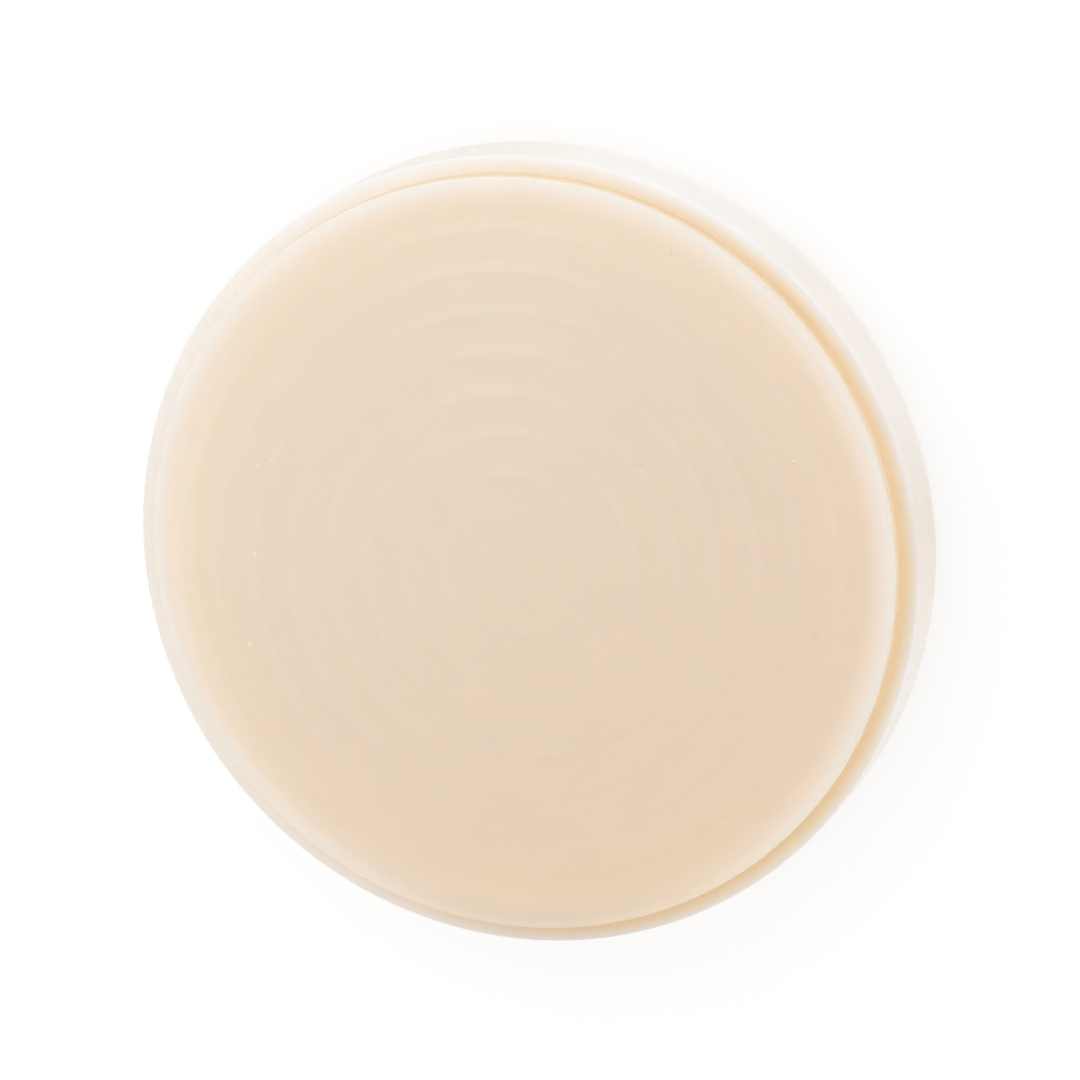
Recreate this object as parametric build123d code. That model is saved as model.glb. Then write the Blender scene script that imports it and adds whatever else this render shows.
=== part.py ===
from build123d import *
import os

# Dental milling disc: a round blank with a stepped edge, one piece all through.
# A flange of 98.5 mm goes round it half-way up and is gripped by the holder
# ring. A round collar stands up above the flange and another hangs below it,
# and their end faces are the faces that are milled away.
#
# Frame: millimetres, +Z along the disc's axis, origin at the centre of the
# lower face, so the disc lies on Z = 0.

flange_dia = 98.5        # outer edge, held by the holder ring
flange_thick = 10.0      # height of that edge
collar_dia = 94.0        # body above and below the flange
collar_height = 2.0      # how far each collar stands out past the flange
flange_break = 0.30      # radius on the flange's two outer edges
collar_break = 0.20      # radius on the rim of each end face
corner_radius = 0.20     # radius in the corner where a collar meets the flange

flange_r = flange_dia / 2
collar_r = collar_dia / 2
total_thick = flange_thick + 2 * collar_height
z_low = collar_height                   # lower clamping ledge
z_high = collar_height + flange_thick   # upper clamping ledge


def corners_at(sketch, radius, heights):
    """The corners of the half section at one radius and the given heights."""
    return [
        v
        for v in sketch.vertices()
        if abs(v.X - radius) < 1e-6 and any(abs(v.Y - h) < 1e-6 for h in heights)
    ]


# Half section, from the axis outwards: radius along X, height along Y
outline = Polyline(
    (0, 0),
    (collar_r, 0),
    (collar_r, z_low),
    (flange_r, z_low),
    (flange_r, z_high),
    (collar_r, z_high),
    (collar_r, total_thick),
    (0, total_thick),
    close=True,
)
section = make_face(outline.edges())

# Its true edges and corners
section = fillet(corners_at(section, collar_r, (0, total_thick)), collar_break)
section = fillet(corners_at(section, collar_r, (z_low, z_high)), corner_radius)
section = fillet(corners_at(section, flange_r, (z_low, z_high)), flange_break)

# Stand the half section up on the axis and turn it all the way round
body = revolve(Plane.XZ * section, axis=Axis.Z, revolution_arc=360)
body.label = "disc"

os.makedirs("parts", exist_ok=True)
export_step(body, "parts/disc.step")

box = body.bounding_box()
print("disc volume mm3", round(body.volume, 1))
print("disc low", [round(v, 3) for v in box.min], "high", [round(v, 3) for v in box.max])
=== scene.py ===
import bpy, math
import numpy as np
from mathutils import Matrix, Vector


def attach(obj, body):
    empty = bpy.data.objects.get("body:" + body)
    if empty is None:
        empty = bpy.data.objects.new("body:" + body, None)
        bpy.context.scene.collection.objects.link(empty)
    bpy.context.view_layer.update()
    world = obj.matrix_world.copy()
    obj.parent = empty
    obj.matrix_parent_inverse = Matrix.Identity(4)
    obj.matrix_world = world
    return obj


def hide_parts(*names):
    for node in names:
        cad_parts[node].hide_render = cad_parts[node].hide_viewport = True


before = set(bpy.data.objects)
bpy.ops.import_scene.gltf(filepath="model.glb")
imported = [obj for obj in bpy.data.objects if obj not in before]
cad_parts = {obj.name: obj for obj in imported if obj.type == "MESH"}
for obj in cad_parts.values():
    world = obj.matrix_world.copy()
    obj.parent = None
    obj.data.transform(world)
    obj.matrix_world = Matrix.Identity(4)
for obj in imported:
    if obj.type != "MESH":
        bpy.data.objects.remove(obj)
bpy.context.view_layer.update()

MM = 0.001

# ---------------------------------------------------------------- dimensions
R_FLANGE, R_COLLAR = 49.25, 47.0
HEIGHT, LEDGE = 14.0, 2.0
MID = HEIGHT / 2
EDGE_C, EDGE_F, CORNER = 0.20, 0.30, 0.20

# ---------------------------------------------------------------- cutter path
# The faces are cleaned up by a cutter that goes round in passes 5.05 mm apart
# and eases from each pass to the next over about a third of a turn, so the
# seams between its passes are one long uneven spiral. The seam's radius is
# PITCH * turn + ease(angle).
PITCH = 5.05
EASE = [  # angle in degrees, radius of the seam on the turn that ends near 30 mm
    (0, 24.40), (15, 24.30), (30, 24.15), (45, 24.20), (60, 24.70), (75, 25.55),
    (90, 25.75), (105, 25.90), (120, 26.00), (135, 26.50), (150, 27.80),
    (165, 28.72), (180, 29.25), (195, 29.75), (210, 30.15), (225, 30.45),
    (240, 30.65), (255, 30.68), (270, 30.65), (285, 30.50), (300, 30.15),
    (315, 30.00), (330, 29.85), (345, 29.65), (360, 29.45),
]
E_ANG = np.radians([a for a, _ in EASE])
E_RAD = np.array([r for _, r in EASE])


def ease(theta, turn):
    """Seam radius at an angle on one turn; outer turns ease out a little later."""
    t = np.asarray(theta, float)
    late = 0.022 * (5.05 * turn) * np.exp(-(((t % (2 * np.pi)) - 2.7) / 0.75) ** 2)
    out = np.zeros_like(t)
    for d in (-0.16, -0.08, 0.0, 0.08, 0.16):
        a = t - late + d
        turns = np.floor(a / (2 * np.pi))
        out += 0.2 * (np.interp(a - turns * 2 * np.pi, E_ANG, E_RAD) + turns * PITCH)
    return out + PITCH * turn


# ---------------------------------------------------------------- the mesh
SEG = 384
# where the rows lie across one pass, in parts of the pitch, and how high the
# surface stands there: a low ridge is left between one pass and the next
ROWS = [(-0.27, -1.05), (-0.15, -1.10), (-0.075, -0.65), (-0.035, -0.08), (0.03, 0.0),
        (0.105, -0.10), (0.155, -0.75), (0.24, -1.15), (0.38, -1.05), (0.55, -1.0)]
RIDGE = 0.012
R_IN, R_OUT = 1.2, 46.62


def smooth(a, b, x):
    t = np.clip((x - a) / (b - a), 0, 1)
    return t * t * (3 - 2 * t)


def face_grid(theta, top, spin=0.0):
    """Points and faces of one end face, from the axis to just inside its rim.

    The rows of points follow the seams of the cutter path, so each seam is a
    true low ridge. Rows that run past the hub or the rim are gathered there.
    Each point also carries where it is across its pass, as a cosine and a sine,
    and how strong the seams are there."""
    n = len(theta)
    rows = [(k, p, h) for k in range(-7, 7) for p, h in ROWS]
    s = len(ROWS)
    rad = np.array([ease(theta, k + p) for k, p, _ in rows])
    fade = smooth(2.5, 11.0, rad) * (1 - smooth(44.5, R_OUT, rad))
    points, across = [], []
    index = np.zeros(rad.shape, int)
    hub, rim = [-1] * n, [-1] * n

    def add(r, j, h, turn, strength):
        a = theta[j] + spin
        z = HEIGHT + RIDGE * h * strength
        points.append((r * math.cos(a), r * math.sin(a), z if top else HEIGHT - z))
        across.append((math.cos(2 * math.pi * turn), math.sin(2 * math.pi * turn), strength))
        return len(points) - 1

    for j in range(n):
        for i, (k, p, h) in enumerate(rows):
            if rad[i, j] <= R_IN:
                if hub[j] < 0:
                    hub[j] = add(R_IN, j, 0.0, k + p, 0.0)
                index[i, j] = hub[j]
            elif rad[i, j] >= R_OUT:
                if rim[j] < 0:
                    rim[j] = add(R_OUT, j, 0.0, k + p, 0.0)
                index[i, j] = rim[j]
            else:
                index[i, j] = add(rad[i, j], j, h, k + p, fade[i, j])
    faces = []
    last = len(rows) - 1
    for j in range(n):
        k = (j + 1) % n
        shift = s if k == 0 else 0      # the spiral goes on one pass further out
        for i in range(last):
            corners = (index[i, j], index[i + 1, j],
                       index[min(i + 1 + shift, last), k], index[min(i + shift, last), k])
            ring = list(dict.fromkeys(int(v) for v in corners))
            if len(ring) > 2:
                faces.append(tuple(ring))
    centre = len(points)
    points.append((0.0, 0.0, HEIGHT if top else 0.0))
    across.append((1.0, 0.0, 0.0))
    for j in range(n):
        faces.append((centre, hub[j], hub[(j + 1) % n]))
    if not top:
        faces = [tuple(reversed(f)) for f in faces]
    return points, faces, rim, across


def arc(cx, cz, r, a0, a1, n):
    return [(cx + r * math.cos(math.radians(a0 + (a1 - a0) * i / n)),
             cz + r * math.sin(math.radians(a0 + (a1 - a0) * i / n)))
            for i in range(n + 1)]


def edge_profile():
    """Radius and height of the stepped edge, from the upper rim to the lower."""
    up = [(46.72, HEIGHT)]
    up += arc(R_COLLAR - EDGE_C, HEIGHT - EDGE_C, EDGE_C, 90, 0, 5)
    up += [(R_COLLAR, 13.4), (R_COLLAR, 12.9), (R_COLLAR, 12.45)]
    up += arc(R_COLLAR + CORNER, HEIGHT - LEDGE + CORNER, CORNER, 180, 270, 5)
    up += [(47.6, 12.0), (48.1, 12.0), (48.6, 12.0)]
    up += arc(R_FLANGE - EDGE_F, HEIGHT - LEDGE - EDGE_F, EDGE_F, 90, 0, 6)
    up += [(R_FLANGE, 10.8), (R_FLANGE, 9.6), (R_FLANGE, 8.3)]
    return up + [(R_FLANGE, MID)] + [(r, HEIGHT - z) for r, z in reversed(up)]


theta = np.arange(SEG) * 2 * np.pi / SEG
verts, faces, rim_top, passes = face_grid(theta, True)
low_v, low_f, rim_low, low_p = face_grid(theta, False, spin=2 * np.pi * 128 / SEG)
off = len(verts)
verts += low_v
passes += low_p
faces += [tuple(i + off for i in f) for f in low_f]
rim_low = [rim_low[(j - 128) % SEG] + off for j in range(SEG)]

profile = edge_profile()
rings = [rim_top]
for r, z in profile:
    start = len(verts)
    verts += [(r * math.cos(t), r * math.sin(t), z) for t in theta]
    rings.append(list(range(start, start + SEG)))
rings.append(rim_low)
for a, b in zip(rings, rings[1:]):
    for j in range(SEG):
        k = (j + 1) % SEG
        faces.append((a[j], b[j], b[k], a[k]))

mesh = bpy.data.meshes.new("disc_body")
mesh.from_pydata([(x * MM, y * MM, z * MM) for x, y, z in verts], [], faces)
mesh.validate()
mesh.update()
passes += [(1.0, 0.0, 0.0)] * (len(verts) - len(passes))
pass_data = mesh.attributes.new("pass", "FLOAT_VECTOR", "POINT")
pass_data.data.foreach_set("vector", np.array(passes, np.float32).ravel())
mesh.shade_smooth()
body = bpy.data.objects.new("disc_body", mesh)
bpy.context.scene.collection.objects.link(body)
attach(body, "root")
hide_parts("disc")


# ---------------------------------------------------------------- the material
class Graph:
    """Small helper that adds and joins shader nodes."""

    def __init__(self, tree):
        self.tree = tree

    def put(self, socket, value):
        if isinstance(value, bpy.types.NodeSocket):
            self.tree.links.new(value, socket)
        elif value is not None:
            socket.default_value = value

    def math(self, op, a, b=None, c=None, clamp=False):
        n = self.tree.nodes.new("ShaderNodeMath")
        n.operation = op
        n.use_clamp = clamp
        for i, v in enumerate((a, b, c)):
            self.put(n.inputs[i], v)
        return n.outputs[0]

    def vec(self, op, a, b=None):
        n = self.tree.nodes.new("ShaderNodeVectorMath")
        n.operation = op
        self.put(n.inputs[0], a)
        if b is not None:
            self.put(n.inputs[1], b)
        return n.outputs["Value"] if op in ("LENGTH", "DISTANCE", "DOT_PRODUCT") else n.outputs["Vector"]

    def xyz(self, v):
        n = self.tree.nodes.new("ShaderNodeSeparateXYZ")
        self.put(n.inputs[0], v)
        return n.outputs

    def join(self, x, y, z):
        n = self.tree.nodes.new("ShaderNodeCombineXYZ")
        for i, v in enumerate((x, y, z)):
            self.put(n.inputs[i], v)
        return n.outputs[0]

    def ramp(self, fac, stops, mode="EASE"):
        n = self.tree.nodes.new("ShaderNodeValToRGB")
        cr = n.color_ramp
        cr.interpolation = mode
        while len(cr.elements) > 1:
            cr.elements.remove(cr.elements[-1])
        cr.elements[0].position = stops[0][0]
        cr.elements[0].color = self.rgba(stops[0][1])
        for p, col in stops[1:]:
            e = cr.elements.new(p)
            e.color = self.rgba(col)
        self.put(n.inputs[0], fac)
        return n.outputs[0]

    @staticmethod
    def rgba(c):
        if isinstance(c, (int, float)):
            return (c, c, c, 1)
        return (*c, 1)

    def mix(self, fac, a, b, mode="MIX"):
        n = self.tree.nodes.new("ShaderNodeMix")
        n.data_type = "RGBA"
        n.blend_type = mode
        self.put(n.inputs[0], fac)
        for s, v in ((n.inputs[6], a), (n.inputs[7], b)):
            self.put(s, v if isinstance(v, bpy.types.NodeSocket) else self.rgba(v))
        return n.outputs[2]

    def noise(self, vector, scale, detail=2.0, rough=0.5, dist=0.0):
        n = self.tree.nodes.new("ShaderNodeTexNoise")
        self.put(n.inputs["Vector"], vector)
        n.inputs["Scale"].default_value = scale
        n.inputs["Detail"].default_value = detail
        n.inputs["Roughness"].default_value = rough
        n.inputs["Distortion"].default_value = dist
        return n.outputs[0]

    def span(self, v, a, b, lo=0.0, hi=1.0, kind="SMOOTHSTEP"):
        n = self.tree.nodes.new("ShaderNodeMapRange")
        n.interpolation_type = kind
        self.put(n.inputs[0], v)
        for i, x in zip((1, 2, 3, 4), (a, b, lo, hi)):
            n.inputs[i].default_value = x
        return n.outputs[0]


def lin(r, g, b):
    """sRGB 0-255 to linear."""
    out = []
    for v in (r, g, b):
        v /= 255
        out.append(v / 12.92 if v <= 0.04045 else ((v + 0.055) / 1.055) ** 2.4)
    return tuple(out)


mat = bpy.data.materials.new("disc_polycarbonate")
mat.use_nodes = True
nt = mat.node_tree
for n in list(nt.nodes):
    nt.nodes.remove(n)
g = Graph(nt)
out = nt.nodes.new("ShaderNodeOutputMaterial")
bsdf = nt.nodes.new("ShaderNodeBsdfPrincipled")
nt.links.new(bsdf.outputs[0], out.inputs["Surface"])
coord = nt.nodes.new("ShaderNodeTexCoord")
mm = g.vec("MULTIPLY", coord.outputs["Object"], (1000, 1000, 1000))
px, py, pz = g.xyz(mm)[0], g.xyz(mm)[1], g.xyz(mm)[2]
flat = g.join(px, py, 0.0)
rad = g.vec("LENGTH", flat)
half = g.math("ABSOLUTE", g.math("SUBTRACT", pz, MID))       # height from mid plane
aim = g.vec("NORMALIZE", flat)


def toward(degrees):
    """Cosine of the angle round the axis from a direction, 1 on that side."""
    t = math.radians(degrees)
    return g.vec("DOT_PRODUCT", aim, (math.cos(t), math.sin(t), 0.0))


# One coordinate that runs along the half section: below 0 on an end face,
# 0 at its rim, 0 to 2 down the collar, 2 at the step's inner corner, 2 to 4.25
# out along the ledge, and 4.25 to 9.25 down the flange to mid height.
run = g.math("SUBTRACT", g.math("SUBTRACT", rad, half), R_COLLAR - MID)

# The plastic is slightly clear. Besides the body colour, the colours below are painted light and shade:
# a pale painted glow near an outer edge, where light gets out again soon, and amber painted shade
# in the step's corner, where it has gone far.
BEIGE = (0.872, 0.722, 0.570)          # the body colour
BEIGE_PAINTED_SHADE = (0.838, 0.660, 0.500)     # the body colour under painted shade, on the side turned from the light
PALE_GLOW = (0.895, 0.818, 0.755)      # painted glow on the face some way in from its rim
PALE_RIM = (0.800, 0.786, 0.755)       # painted light on the rim
PALE_STEP = (0.792, 0.760, 0.722)      # painted light on the outer part of the ledge
PALE_STEP_LIT = (0.838, 0.826, 0.820)  # the same painted light on its most lit side
WALL_HIGH = (0.852, 0.822, 0.790)      # painted light on the flange's wall, near its edge
WALL_MID = (0.932, 0.872, 0.800)       # and at mid height
# painted shade in the step's corner
AMBER_PAINTED_SHADE = (0.785, 0.607, 0.385)
RIM_PAINTED_SHADE = (0.735, 0.618, 0.487)            # painted shade on the face's rim on its least lit side


def power(v, n):
    return g.math("POWER", g.math("MAXIMUM", v, 0.0), n)


# painted shade: the face darker towards the side turned from the key light
across = g.vec("DOT_PRODUCT", flat, (math.cos(math.radians(-62)) / 47, math.sin(math.radians(-62)) / 47, 0.0))
colour = g.mix(g.span(across, -0.9, 0.75), BEIGE, BEIGE_PAINTED_SHADE)
# painted light: the face brighter in from its rim on the side toward the key light
far_side = g.span(toward(118), -1.0, 0.6, 0.55, 1.0)
far_painted_light = g.math("MULTIPLY", g.span(run, -14.0, -2.0, 0.0, 1.0, "LINEAR"), far_side)
colour = g.mix(far_painted_light, colour, (1.065, 1.05, 1.01), "MULTIPLY")
# painted light: a band in from the rim a little brighter and cooler round one side
ring = g.math("MULTIPLY", g.span(run, -6.0, -4.2), g.span(run, -3.6, -1.8, 1.0, 0.0))
colour = g.mix(g.math("MULTIPLY", ring, g.span(toward(195), -0.2, 0.9)), colour, (1.008, 1.035, 1.050), "MULTIPLY")
# painted shade: the face darker and warmer round one side
colour = g.mix(g.math("MULTIPLY", power(toward(284), 5.0), g.span(run, -14.0, -7.0)), colour, (1.0, 0.992, 0.955), "MULTIPLY")

glow_shade_side = power(toward(274), 7.0)                                       # the side with least painted glow, where painted shade goes
painted_shade_side = power(toward(270), 10.0)
# painted glow near the rim, weaker on the side with least light, and painted light and shade over the whole edge
# beyond the rim
painted_glow_near_rim = g.math("MULTIPLY", g.span(run, -4.4, -0.1, 0.0, 0.80), g.math("SUBTRACT", 1.0, g.math("MULTIPLY", glow_shade_side, 0.95)))
pale = g.math("MAXIMUM", painted_glow_near_rim, g.span(run, -0.2, 0.5))
# painted light on the ledge, lighter round the side toward the light
step_painted_light = g.mix(g.span(toward(85), 0.05, 0.95, 0.0, 1.0, "LINEAR"), PALE_STEP, PALE_STEP_LIT)
wall_light_and_shade = g.mix(g.span(run, 4.3, 8.5, 0.0, 1.0, "LINEAR"), WALL_HIGH, WALL_MID)
# painted shade: the flange's wall darker round the side turned from the light
wall_light_and_shade = g.mix(g.span(toward(225), 0.10, 0.85), wall_light_and_shade, (0.965, 0.935, 0.905), "MULTIPLY")
# painted light: a cooler, brighter tint on the wall round one direction
wall_light_and_shade = g.mix(power(toward(66), 22.0), wall_light_and_shade, (0.99, 1.03, 1.075), "MULTIPLY")
# painted shade: the wall darker and warmer in a narrow lobe round one direction
wall_light_and_shade = g.mix(power(toward(1), 60.0), wall_light_and_shade, (0.955, 0.915, 0.875), "MULTIPLY")
# painted shade: the wall a little darker round the side facing the key light
wall_light_and_shade = g.mix(g.span(toward(120), 0.72, 0.90), wall_light_and_shade, (0.955, 0.945, 0.94), "MULTIPLY")
pale_tone = g.mix(g.span(run, -2.2, -0.6), PALE_GLOW, PALE_RIM)
# painted shade: less painted glow close in from the rim round one side
pale_tone = g.mix(g.math("MULTIPLY", g.span(run, -2.6, -1.2), g.span(toward(195), 0.70, 0.95)), pale_tone, (0.965, 0.955, 0.945), "MULTIPLY")
# painted shade: the painted glow warmer round one side
pale_tone = g.mix(power(toward(325), 6.0), pale_tone, (0.99, 0.975, 0.945), "MULTIPLY")
pale_tone = g.mix(g.span(run, 1.2, 2.4), pale_tone, step_painted_light)
pale_tone = g.mix(g.span(run, 4.1, 4.8), pale_tone, wall_light_and_shade)
colour = g.mix(pale, colour, pale_tone)
# painted shade on the rim on the side with least light
colour = g.mix(g.math("MULTIPLY", g.math("MULTIPLY", painted_shade_side, g.span(run, -4.2, -0.4)), g.span(run, -0.1, 0.4, 1.0, 0.0)), colour, RIM_PAINTED_SHADE)

# amber painted shade on the collar's wall, and from its foot out along the ledge
rise = g.math("ADD", g.span(run, -0.15, 0.25, 0.0, 0.35), g.span(run, 0.0, 1.6, 0.0, 0.60, "LINEAR"))
early = g.math("MULTIPLY", g.math("MULTIPLY", power(toward(22), 4.0), g.span(run, -0.65, 0.0, 0.0, 0.17)), g.span(run, 0.1, 0.6, 1.0, 0.0))
rise = g.math("ADD", rise, early)
wall_side = g.math("SUBTRACT", g.span(toward(45), -0.2, 0.95, 0.2, 1.0, "LINEAR"), g.math("MULTIPLY", power(toward(15), 60.0), 0.36))
wall_side = g.math("ADD", wall_side, g.span(toward(-40), 0.70, 0.95, 0.0, 0.16))
wall_painted_shade = g.math("MULTIPLY", g.math("MULTIPLY", rise, wall_side), g.span(run, 2.0, 2.6, 1.0, 0.0))
foot_side = g.math("MULTIPLY_ADD", power(g.span(toward(-20), -1.0, 0.5, 0.0, 1.0, "LINEAR"), 1.9), 0.80, 0.20)
foot_side = g.math("MULTIPLY", foot_side, g.span(toward(178), 0.72, 0.95, 1.0, 0.25))
narrow = g.span(toward(80), 0.25, 0.75)                              # the ledge's painted shade is narrower here
reach = g.math("ADD", g.math("MULTIPLY", g.math("SUBTRACT", run, 2.0), g.math("MULTIPLY_ADD", narrow, 0.1, 1.0)),
               g.math("MULTIPLY", narrow, 0.15))
foot_painted_shade = g.math("MULTIPLY", g.math("MULTIPLY", foot_side, g.span(reach, 0.3, 2.7, 1.0, 0.0)), g.span(run, 1.3, 2.15))
colour = g.mix(g.math("MAXIMUM", wall_painted_shade, foot_painted_shade), colour, AMBER_PAINTED_SHADE)
# painted shade on the collar's wall on the side with least light
colour = g.mix(g.math("MULTIPLY", painted_shade_side, g.span(run, -0.2, 0.6)), colour, (0.920, 0.882, 0.892), "MULTIPLY")
inner = g.math("MULTIPLY", g.span(run, 0.9, 1.7), g.span(run, 2.2, 2.8, 1.0, 0.0))       # light caught in the corner
colour = g.mix(g.math("MULTIPLY", inner, g.span(toward(-3), 0.74, 0.97)), colour, (1.052, 1.042, 1.08), "MULTIPLY")
# painted shade: the outer part of the ledge a little darker round one side
outer = g.math("MULTIPLY", g.span(run, 2.6, 3.6), g.span(run, 4.15, 4.5, 1.0, 0.0))
colour = g.mix(g.math("MULTIPLY", outer, g.span(toward(14), 0.80, 0.97)), colour, (0.972, 0.955, 0.945), "MULTIPLY")

# The seams between the cutter's passes. `out` is how far out a point is from its
# seam in millimetres. A seam is a flat-topped band about 1.1 mm wide. Its colour
# is painted highlight where it faces the light, and on the far side painted shade:
# a thin dark line between two painted light ones. Levels are steps of brightness, as on a screen.
at = nt.nodes.new("ShaderNodeAttribute")
at.attribute_name = "pass"
cx, cy, strength = g.xyz(at.outputs["Vector"])
out_mm = g.math("MULTIPLY", g.math("ARCTAN2", cy, cx), PITCH / (2 * math.pi))


def band(a, b, c, d):
    """1 between b and c across the seam, and 0 outside a and d."""
    return g.math("MULTIPLY", g.span(out_mm, a, b), g.span(out_mm, c, d, 1.0, 0.0))


def total(*terms):
    t = terms[0]
    for u in terms[1:]:
        t = g.math("ADD", t, u)
    return t


def times(*terms):
    t = terms[0]
    for u in terms[1:]:
        t = g.math("MULTIPLY", t, u)
    return t


# painted highlight on the seams round the side toward the light; crest adds to it and dip takes some away
lit = times(g.span(toward(110), -0.60, -0.35), g.math("SUBTRACT", 1.0, power(toward(58), 40.0)))
crest = g.math("POWER", g.math("MAXIMUM", toward(92), 0.0), 30.0)
dip = g.math("POWER", g.math("MAXIMUM", toward(129), 0.0), 34.0)
# painted shade on the far side: a dark core between painted light flanks
shade_side = g.span(toward(293), 0.76, 0.92)
flank_side = g.span(toward(326), 0.72, 0.93)
level_band = total(times(lit, 1.75), times(crest, 1.5), times(dip, -1.0))
seams = total(
    times(band(-0.50, -0.22, 0.55, 0.95), level_band, g.span(g.noise(mm, 0.85, 1.0, 0.6), 0.3, 0.7, 0.65, 1.35, "LINEAR")),
    times(band(0.50, 0.85, 1.00, 1.50), crest, 1.6),
    times(band(-0.45, -0.25, 0.20, 0.40), shade_side, -1.25),
    times(band(-1.00, -0.72, -0.62, -0.38), g.math("MAXIMUM", flank_side, times(shade_side, 0.6)), 0.75),
    times(band(0.30, 0.55, 0.80, 1.10), flank_side, 0.9),
    # painted shade just outside and just inside the seam round some sides
    times(band(0.85, 1.15, 1.9, 2.4), g.math("MAXIMUM", g.span(toward(25), 0.75, 0.95), g.span(toward(212), 0.8, 0.97)), -0.65),
    times(band(-1.45, -1.1, -0.75, -0.45), g.math("MAXIMUM", g.span(toward(92), 0.92, 1.0), times(g.span(toward(22), 0.88, 1.0), 0.5)), -0.9))
seams = times(seams, strength)

# fine streaks that the cutter leaves along its path, a soft mottle, and grain
track = g.join(g.math("MULTIPLY", g.xyz(aim)[0], 3.2), g.math("MULTIPLY", g.xyz(aim)[1], 3.2),
               g.math("ADD", rad, g.math("MULTIPLY", out_mm, 0.25)))
on_face = g.span(run, -2.2, -0.6, 1.0, 0.0)
streak = times(g.math("SUBTRACT", g.noise(track, 1.25, 2.0, 0.65), 0.5), on_face)
grain = g.math("SUBTRACT", g.noise(mm, 2.6, 2.0, 0.65), 0.5)
cloud = g.math("SUBTRACT", g.noise(mm, 0.16, 2.0, 0.6), 0.5)
tint = g.math("SUBTRACT", g.noise(g.vec("ADD", mm, (91.0, 37.0, 11.0)), 0.24, 2.0, 0.65), 0.5)


def spot(x, y, size, level):
    """A soft round speck of this many levels at a place seen from above."""
    return g.span(g.vec("DISTANCE", flat, (x, y, 0.0)), size * 0.35, size, level, 0.0)


def hair(points, width, level):
    """A fine fibre or scratch through these places."""
    found = None
    for (ax, ay), (bx, by) in zip(points, points[1:]):
        ex, ey = bx - ax, by - ay
        d = g.vec("SUBTRACT", flat, (ax, ay, 0.0))
        t = g.math("DIVIDE", g.vec("DOT_PRODUCT", d, (ex, ey, 0.0)), ex * ex + ey * ey, clamp=True)
        on = g.join(times(t, ex), times(t, ey), 0.0)
        w = g.span(g.vec("DISTANCE", d, on), width * 0.4, width, level, 0.0)
        found = w if found is None else g.math("MINIMUM" if level < 0 else "MAXIMUM", found, w)
    return found


top_face = g.span(pz, 13.7, 13.9)
top_step = times(g.span(pz, 11.6, 11.8), g.span(pz, 12.6, 13.0, 1.0, 0.0))
face_marks = total(
    spot(-35.59, -10.99, 0.30, 16.0), spot(35.20, 11.93, 0.17, 34.0), spot(-32.69, 11.67, 0.20, 18.0),
    spot(33.08, 25.64, 0.20, 16.0), spot(-37.99, -13.05, 0.16, 8.0), spot(-34.76, -2.47, 0.15, 7.0),
    hair([(-34.08, 0.70), (-33.95, 0.20)], 0.16, 13.0), spot(-33.0, -0.6, 0.13, 5.0),
    spot(-31.65, 12.30, 0.26, -9.0), spot(36.65, -9.60, 0.55, -5.0), spot(0.46, 33.45, 0.17, -9.0),
    spot(7.87, -24.65, 0.20, -11.0), spot(14.66, 34.12, 0.20, -12.0), spot(-20.14, -29.78, 0.27, -9.0),
    spot(-25.43, -17.56, 0.18, -13.0), spot(-33.19, -24.79, 0.16, -5.0),
    hair([(14.75, 11.14), (15.19, 11.45), (15.60, 11.47), (16.02, 11.35), (16.52, 11.73)], 0.12, -9.0),
    hair([(21.56, 37.76), (21.69, 37.45), (21.55, 37.14)], 0.12, -9.0))
step_marks = total(
    spot(27.95, -38.52, 0.19, -17.0), spot(19.82, -43.10, 0.18, -17.0), spot(47.55, 6.16, 0.17, -12.0),
    hair([(47.93, 8.12), (48.09, 7.66)], 0.11, -9.0), spot(47.62, 4.2, 0.13, -5.0), spot(40.9, 22.9, 0.14, 7.0),
    spot(-36.3, 32.05, 0.20, -10.0))

# where a clamp has rubbed the flange: a curved line with fine scuffs inside it
along = g.math("MULTIPLY", g.math("ARCTAN2", py, px), R_FLANGE)
curve = g.math("ADD", g.math("MULTIPLY", g.math("POWER", g.math("ABSOLUTE", g.math("SUBTRACT", along, 8.7)), 2.0), 0.090), 4.87)
above = g.math("SUBTRACT", pz, curve)
on_wall = times(g.span(pz, 11.75, 11.95, 1.0, 0.0), g.span(rad, 49.0, 49.2), g.span(px, 30.0, 35.0))
arc_line = times(g.span(above, -0.20, -0.06), g.span(above, 0.06, 0.20, 1.0, 0.0))
near_arc = times(g.span(along, -0.5, 2.0), g.span(along, 16.5, 18.5, 1.0, 0.0))
fibres = g.noise(g.join(g.math("MULTIPLY", along, 0.32), 0.0, g.math("MULTIPLY", above, 3.1)), 1.0, 2.0, 0.6)
hatch = times(g.span(fibres, 0.50, 0.62), g.span(above, 2.4, 3.2), g.span(above, 5.0, 6.0, 1.0, 0.0),
              g.span(along, 4.8, 6.5), g.span(along, 10.5, 12.5, 1.0, 0.0))
rub = g.noise(g.vec("MULTIPLY", g.join(along, 0.0, pz), (0.45, 1.0, 0.6)), 1.0, 2.0, 0.6)
smudge = times(g.span(g.vec("DISTANCE", g.join(along, pz, 0.0), (3.0, 4.6, 0.0)), 0.6, 3.4, 1.0, 0.0), rub)
wall_marks = times(on_wall, total(
    times(arc_line, near_arc, g.span(rub, 0.32, 0.55, 0.4, 1.0), -5.0),
    times(g.span(above, 0.0, 0.3), near_arc, -1.6),
    times(hatch, -5.0), times(smudge, -4.5)))

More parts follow.
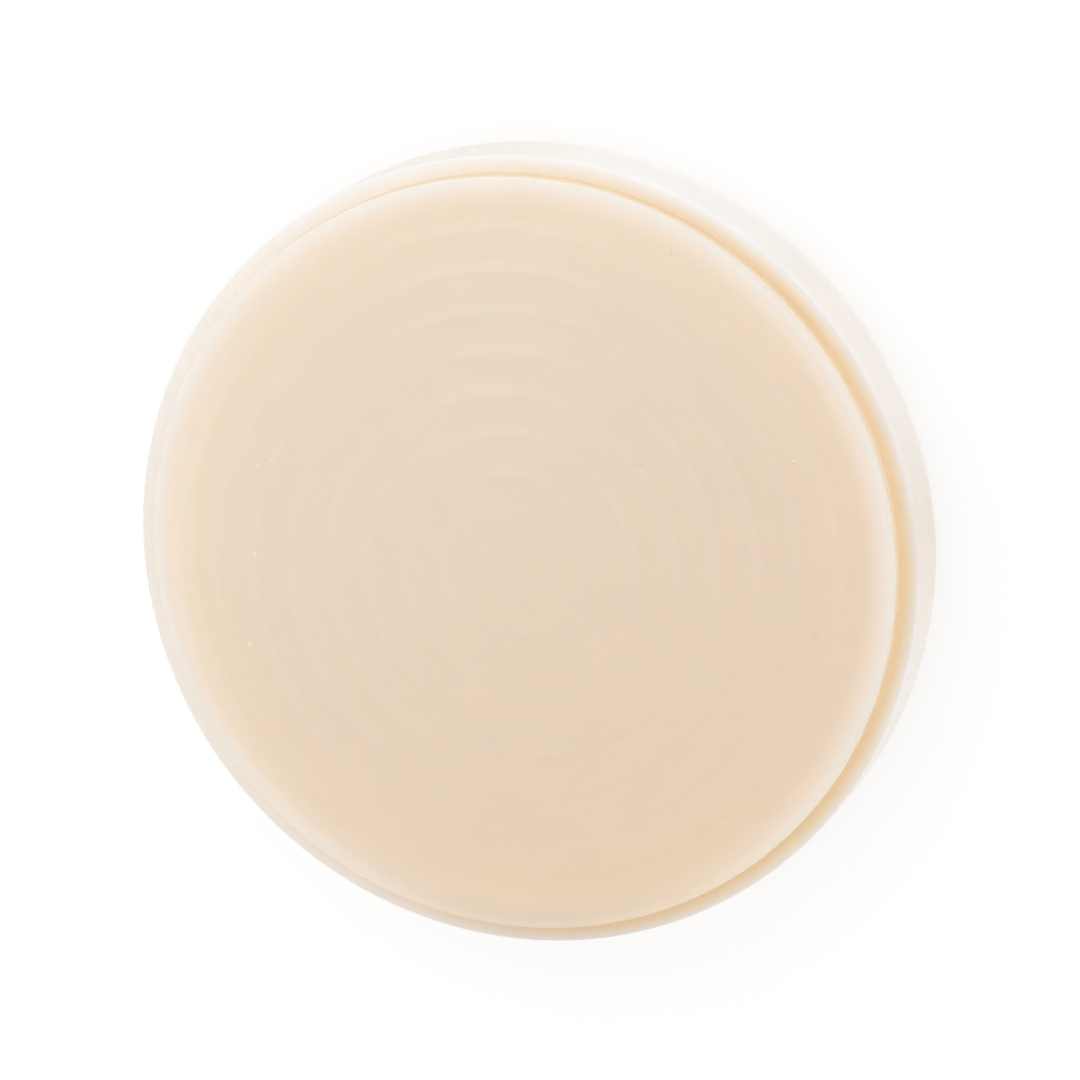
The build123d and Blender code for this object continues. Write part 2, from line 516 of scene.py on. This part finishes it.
# the seams' painted highlight and shade, with streaks, grain, mottle, specks and rub marks, as changes of brightness
# and tint
neutral = total(times(seams, 0.010), times(streak, 0.034), times(grain, 0.052), times(cloud, 0.036),
                times(total(times(top_face, face_marks), times(top_step, step_marks)), 0.0100),
                times(wall_marks, 0.0098))
cool = total(times(seams, 0.0082), times(tint, 0.040))
shift = g.join(g.math("SUBTRACT", g.math("ADD", neutral, 1.0), times(cool, 0.85)),
               g.math("ADD", neutral, 1.0),
               g.math("ADD", g.math("ADD", neutral, 1.0), cool))
colour = g.vec("MULTIPLY", colour, shift)

bsdf.inputs["Subsurface Weight"].default_value = 1.0
bsdf.inputs["Subsurface Radius"].default_value = (1.0, 0.85, 0.7)
bsdf.inputs["Subsurface Scale"].default_value = 4.0 * MM
bsdf.subsurface_method = "BURLEY"
nt.links.new(g.math("MULTIPLY_ADD", g.math("ADD", streak, grain), 0.22, 0.38), bsdf.inputs["Roughness"])
bsdf.inputs["IOR"].default_value = 1.5
nt.links.new(colour, bsdf.inputs["Base Color"])
mesh.materials.append(mat)

# ---------------------------------------------------------------- the stage
floor_mesh = bpy.data.meshes.new("floor")
F = 6.0
floor_mesh.from_pydata([(-F, -F, 0), (F, -F, 0), (F, F, 0), (-F, F, 0)], [], [(0, 1, 2, 3)])
floor = bpy.data.objects.new("floor", floor_mesh)
floor.location.z = -0.00002
bpy.context.scene.collection.objects.link(floor)
fmat = bpy.data.materials.new("floor_white")
fmat.use_nodes = True
fb = fmat.node_tree.nodes["Principled BSDF"]
fb.inputs["Base Color"].default_value = (0.35, 0.35, 0.35, 1)
fb.inputs["Roughness"].default_value = 0.9
fb.inputs["Specular IOR Level"].default_value = 0.1
fb.inputs["Emission Color"].default_value = (1, 1, 1, 1)
fb.inputs["Emission Strength"].default_value = 0.68
floor_mesh.materials.append(fmat)

world = bpy.data.worlds.new("studio")
bpy.context.scene.world = world
world.use_nodes = True
bg = world.node_tree.nodes["Background"]
bg.inputs["Color"].default_value = (1.0, 1.0, 1.0, 1)
bg.inputs["Strength"].default_value = 0.87


def softbox(name, place, aim, size, power, colour=(1, 1, 1)):
    data = bpy.data.lights.new(name, "AREA")
    data.shape = "RECTANGLE"
    data.size, data.size_y = size
    data.energy = power
    data.color = colour
    ob = bpy.data.objects.new(name, data)
    bpy.context.scene.collection.objects.link(ob)
    ob.location = place
    ob.rotation_euler = (Vector(aim) - Vector(place)).to_track_quat("-Z", "Y").to_euler()
    return ob


softbox("key", (-0.30, 0.70, 0.70), (0, 0, 0), (0.8, 0.5), 1.3)

# ---------------------------------------------------------------- the camera
AX, AY = 0.236129507, -0.293647357
TX, TY, DIST = -2.5534, -2.1332, 804.164853
FOCAL = 6614.66050
Rx = Matrix(((1, 0, 0), (0, math.cos(AX), -math.sin(AX)), (0, math.sin(AX), math.cos(AX))))
Ry = Matrix(((math.cos(AY), 0, math.sin(AY)), (0, 1, 0), (-math.sin(AY), 0, math.cos(AY))))
turn = (Ry @ Rx).transposed()
cam_data = bpy.data.cameras.new("camera")
cam = bpy.data.objects.new("camera", cam_data)
bpy.context.scene.collection.objects.link(cam)
place = -(turn @ Vector((TX, TY, -DIST))) + Vector((0, 0, HEIGHT))
cam.matrix_world = Matrix.Translation(place * MM) @ turn.to_4x4()
cam_data.sensor_width = 36.0
cam_data.sensor_fit = "HORIZONTAL"
cam_data.lens = FOCAL / 1080 * 36.0
cam_data.clip_start, cam_data.clip_end = 0.01, 50
bpy.context.scene.camera = cam

bpy.context.scene.view_settings.view_transform = "Standard"
bpy.context.scene.view_settings.look = "None"
